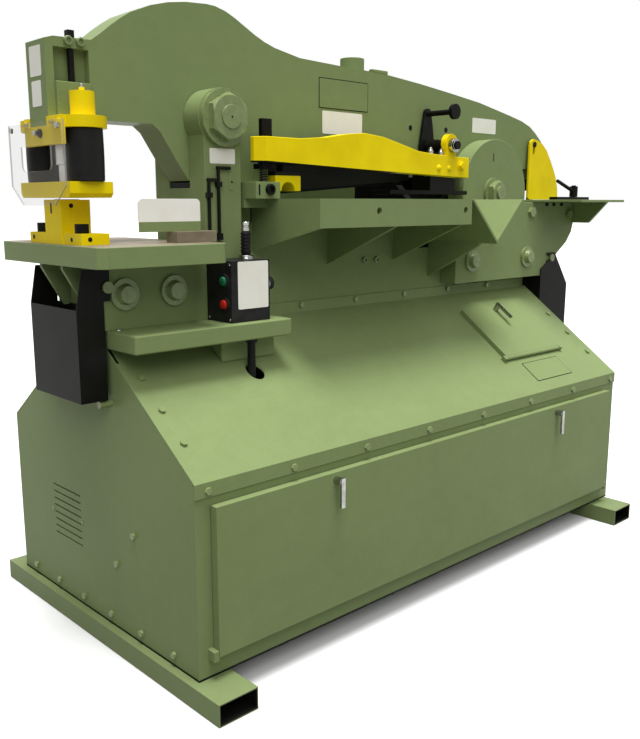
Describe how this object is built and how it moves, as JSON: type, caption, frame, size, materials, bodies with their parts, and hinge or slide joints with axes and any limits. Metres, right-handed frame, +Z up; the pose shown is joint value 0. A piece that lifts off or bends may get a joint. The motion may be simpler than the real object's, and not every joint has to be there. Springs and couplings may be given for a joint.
{
  "type": "hydraulic ironworker",
  "caption": "Hydraulic ironworker: a swinging beam over a sloped steel cabinet, with punch, flat shear, angle shear and notcher stations, guards and catch buckets.",
  "frame": {"origin": "on the ground, at the middle of the whole machine's box", "axes": "+Z up, +X towards the notcher end, -Y towards the operator"},
  "size_m": [2.032, 0.985, 1.5],
  "materials": {
    "green_paint": "satin machine enamel",
    "black_paint": "satin black",
    "yellow_paint": "satin safety yellow",
    "bare_steel": "ground, lightly worn",
    "white_panel": "satin white",
    "black_urethane": "matt",
    "clear_polycarbonate": "clear",
    "grey_paint": "satin",
    "zinc_steel": "plated",
    "red_plastic": "gloss",
    "green_plastic": "gloss",
    "black_plastic": "matt",
    "bronze": "machined"
  },
  "bodies": {
    "frame": {"base_frame": "green_paint", "end_panels": "green_paint", "front_panel": "green_paint", "rear_covers": "green_paint", "front_slope_cover": "green_paint", "frame_bolts": "green_paint", "main_plate": "green_paint", "left_straps": "green_paint", "right_straps": "green_paint", "pivot_pin": "bare_steel", "pivot_nuts": "green_paint", "punch_table": "bare_steel", "die_holder": "yellow_paint", "die": "bare_steel", "die_bolts": "black_paint", "stop_block": "bare_steel", "sign_plate": "white_panel", "lower_shelf": "green_paint", "control_box": "black_plastic", "conduit": "grey_paint", "hex_keys": "black_paint", "shear_table": "green_paint", "v_trough": "green_paint", "fixed_blades": "black_paint", "hold_down_brackets": "green_paint", "hold_down_post": "black_paint", "lift_spring": "black_paint", "notcher_table": "green_paint", "notch_fence": "black_paint", "motor_pump": "grey_paint", "reservoir": "grey_paint", "valve_lines": "grey_paint", "cylinder_barrel": "black_paint"},
    "beam": {"beam": "green_paint", "pivot_bush": "bronze", "clevis_pin": "bare_steel", "ram_block": "green_paint", "adjusting_screw": "black_paint", "moving_blades": "black_paint", "top_plate": "yellow_paint", "urethane_springs": "black_urethane", "punch": "bare_steel", "lifting_boss": "green_paint"},
    "stripper": {"stripper": "yellow_paint"},
    "guard": {"clear_guard": "clear_polycarbonate"},
    "door": {"access_door": "green_paint"},
    "left_latch": {"left_latch": "zinc_steel"},
    "right_latch": {"right_latch": "zinc_steel"},
    "hatch": {"slope_hatch": "green_paint"},
    "hatch_latch": {"hatch_latch": "zinc_steel"},
    "hold_down": {"hold_down_bar": "yellow_paint"},
    "crank": {"crank": "black_paint"},
    "start_button": {"start_button": "green_plastic"},
    "stop_button": {"stop_button": "red_plastic"},
    "stick": {"control_stick": "zinc_steel"},
    "notch_guard": {"notch_guard": "yellow_paint"},
    "clamp_lever": {"clamp_lever": "black_paint"},
    "rod": {"cylinder_rod": "bare_steel"},
    "slug_bucket": {"slug_bucket": "black_paint"},
    "scrap_bucket": {"scrap_bucket": "black_paint"}
  },
  "joints": [
    {"name": "beam_swing", "type": "hinge", "parent": "frame", "child": "beam", "pos_m": [-0.587, 0.0125, 1.238], "axis": [0, 1, 0], "range_deg": [0, 4]},
    {"name": "rod_slide", "type": "slide", "parent": "frame", "child": "rod", "axis": [0, 0, -1], "range_m": [0, 0.0735]},
    {"name": "stripper_slide", "type": "slide", "parent": "beam", "child": "stripper", "axis": [0, 0, 1], "range_m": [0, 0.02], "stiffness_N_per_m": 40000, "deforming": ["urethane_springs"]},
    {"name": "guard_swing", "type": "hinge", "parent": "beam", "child": "guard", "pos_m": [-1.002, 0.0125, 1.206], "axis": [0, 1, 0], "range_deg": [0, 100]},
    {"name": "door_swing", "type": "hinge", "parent": "frame", "child": "door", "pos_m": [-0.07, -0.4105, 0.111], "axis": [1, 0, 0], "range_deg": [0, 90]},
    {"name": "left_latch_turn", "type": "hinge", "parent": "door", "child": "left_latch", "pos_m": [-0.53138, -0.4105, 0.417], "axis": [0, 1, 0], "range_deg": [0, 90]},
    {"name": "right_latch_turn", "type": "hinge", "parent": "door", "child": "right_latch", "pos_m": [0.40579, -0.4105, 0.417], "axis": [0, 1, 0], "range_deg": [0, 90]},
    {"name": "hatch_swing", "type": "hinge", "parent": "frame", "child": "hatch", "pos_m": [0.469, -0.28821, 0.57577], "axis": [1, 0, 0], "range_deg": [0, 150]},
    {"name": "hatch_latch_turn", "type": "hinge", "parent": "hatch", "child": "hatch_latch", "pos_m": [0.47776, -0.12864, 0.69131], "axis": [0, -0.5865, 0.81], "range_deg": [0, 90]},
    {"name": "hold_down_slide", "type": "slide", "parent": "frame", "child": "hold_down", "axis": [0, 0, -1], "range_m": [0, 0.012], "stiffness_N_per_m": 5000, "springref_m": -0.12, "deforming": ["lift_spring"]},
    {"name": "crank_turn", "type": "hinge", "parent": "frame", "child": "crank", "pos_m": [0.221, -0.0675, 1.208], "axis": [0, 1, 0], "range_deg": [0, 60.5]},
    {"name": "start_press", "type": "slide", "parent": "frame", "child": "start_button", "axis": [1, 0, 0], "range_m": [0, 0.004], "stiffness_N_per_m": 600},
    {"name": "stop_press", "type": "slide", "parent": "frame", "child": "stop_button", "axis": [1, 0, 0], "range_m": [0, 0.004], "stiffness_N_per_m": 600},
    {"name": "stick_tilt", "type": "hinge", "parent": "frame", "child": "stick", "pos_m": [-0.563, -0.1425, 0.9175], "axis": [0, 1, 0], "range_deg": [-12, 12], "stiffness_Nm_per_rad": 3},
    {"name": "notch_guard_slide", "type": "slide", "parent": "frame", "child": "notch_guard", "axis": [0, 0, 1], "range_m": [0, 0.03]},
    {"name": "clamp_turn", "type": "hinge", "parent": "frame", "child": "clamp_lever", "pos_m": [0.915, -0.1375, 1.08], "axis": [0, 0, 1], "range_deg": [0, 70]},
    {"name": "slug_pull", "type": "slide", "parent": "frame", "child": "slug_bucket", "axis": [-1, 0, 0], "range_m": [0, 0.15]},
    {"name": "scrap_pull", "type": "slide", "parent": "frame", "child": "scrap_bucket", "axis": [1, 0, 0], "range_m": [0, 0.2]}
  ],
  "couplings": [
    {"joint": "rod_slide", "follows": "beam_swing", "m_per_rad": 1.048},
    {"joint": "crank_turn", "follows": "hold_down_slide", "rad_per_m": 87.266}
  ]
}
